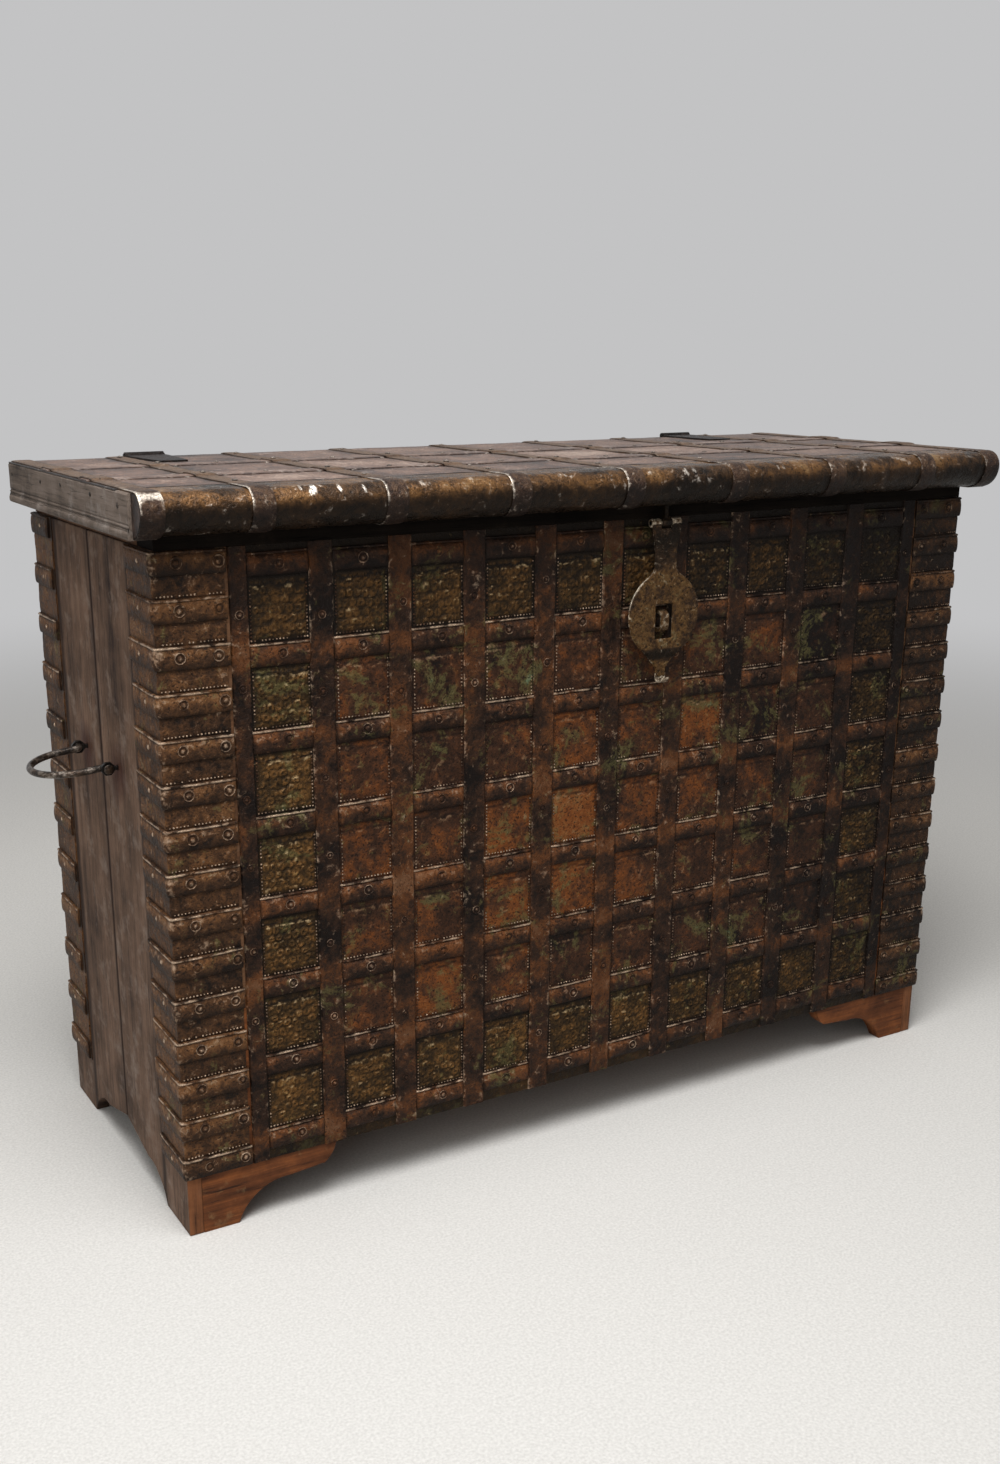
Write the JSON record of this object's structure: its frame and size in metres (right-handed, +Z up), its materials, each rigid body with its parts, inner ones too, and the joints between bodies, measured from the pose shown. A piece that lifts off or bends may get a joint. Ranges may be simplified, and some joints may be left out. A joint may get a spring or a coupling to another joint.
{
  "type": "dowry chest",
  "caption": "Iron-bound wooden dowry chest on bracket feet, with a strapped front, a hinged flat lid with a rolled front edge, a hanging hasp and bail handles.",
  "frame": {"origin": "on the floor, midway between the ends and midway between the foremost and rearmost points", "axes": "+X along the front to the right, +Y from front to back, +Z up"},
  "size_m": [1.3756, 0.5138, 0.8965],
  "materials": {
    "weathered_teak": "dry, worn, grey-brown",
    "foot_teak": "waxed, reddish brown",
    "inner_teak": "plain, unfinished",
    "lid_teak": "dusty, worn",
    "plate_iron": "rusted, hammered, patinated",
    "strap_iron": "rusted, dark, worn bright on edges",
    "lid_iron": "dusty, rubbed",
    "roll_iron": "waxed, golden brown, rubbed bright on the nose",
    "hasp_iron": "rubbed, tan",
    "handle_iron": "smooth, dark"
  },
  "bodies": {
    "chest": {"front_board_lower": "foot_teak", "front_board_middle": "weathered_teak", "front_board_upper": "weathered_teak", "back_board_lower": "weathered_teak", "back_board_middle": "weathered_teak", "back_board_upper": "weathered_teak", "left_board_front": "weathered_teak", "left_board_back": "weathered_teak", "left_floor_cleat": "inner_teak", "right_board_front": "weathered_teak", "right_board_back": "weathered_teak", "right_floor_cleat": "inner_teak", "floor_board_1": "inner_teak", "floor_board_2": "inner_teak", "floor_board_3": "inner_teak", "corner_posts": "inner_teak", "front_plain_plates": "plate_iron", "front_embossed_plates": "plate_iron", "front_upright_straps": "strap_iron", "front_row_straps": "strap_iron", "front_left_corner_strips": "strap_iron", "front_left_corner_sheet": "plate_iron", "front_right_corner_strips": "strap_iron", "front_right_corner_sheet": "plate_iron", "back_left_corner_strips": "strap_iron", "back_left_corner_sheet": "plate_iron", "back_right_corner_strips": "strap_iron", "back_right_corner_sheet": "plate_iron", "left_hinge_body_leaf": "strap_iron", "left_hinge_pin": "handle_iron", "left_handle_eyes": "handle_iron", "right_hinge_body_leaf": "strap_iron", "right_hinge_pin": "handle_iron", "right_handle_eyes": "handle_iron", "lock_staple": "handle_iron"},
    "lid": {"lid_front_rail": "weathered_teak", "lid_back_rail": "weathered_teak", "lid_left_rail": "weathered_teak", "lid_right_rail": "weathered_teak", "lid_battens": "inner_teak", "lid_plank_1": "lid_teak", "lid_plank_2": "lid_teak", "lid_plank_3": "lid_teak", "left_fascia": "weathered_teak", "right_fascia": "weathered_teak", "roll_core": "weathered_teak", "roll_sheets": "roll_iron", "roll_caps": "roll_iron", "lid_plates": "lid_iron", "lid_long_straps": "lid_iron", "lid_cross_straps": "lid_iron", "left_hinge_lid_leaf": "strap_iron", "right_hinge_lid_leaf": "strap_iron", "hasp_eye": "handle_iron"},
    "hasp": {"hasp_plate": "hasp_iron", "hasp_pin": "handle_iron"},
    "left_handle": {"left_handle": "handle_iron"},
    "right_handle": {"right_handle": "handle_iron"}
  },
  "joints": [
    {"name": "lid_hinge", "type": "hinge", "parent": "chest", "child": "lid", "pos_m": [0, 0.2524, 0.892], "axis": [-1, 0, 0], "range_deg": [0, 100]},
    {"name": "hasp_hinge", "type": "hinge", "parent": "lid", "child": "hasp", "pos_m": [0.068, -0.2239, 0.821], "axis": [-1, 0, 0], "range_deg": [-3, 100]},
    {"name": "left_handle_pivot", "type": "hinge", "parent": "chest", "child": "left_handle", "pos_m": [-0.6078, 0.0196, 0.55], "axis": [0, -1, 0], "range_deg": [-98, 89]},
    {"name": "right_handle_pivot", "type": "hinge", "parent": "chest", "child": "right_handle", "pos_m": [0.6078, 0.0196, 0.55], "axis": [0, 1, 0], "range_deg": [-98, 89]}
  ]
}
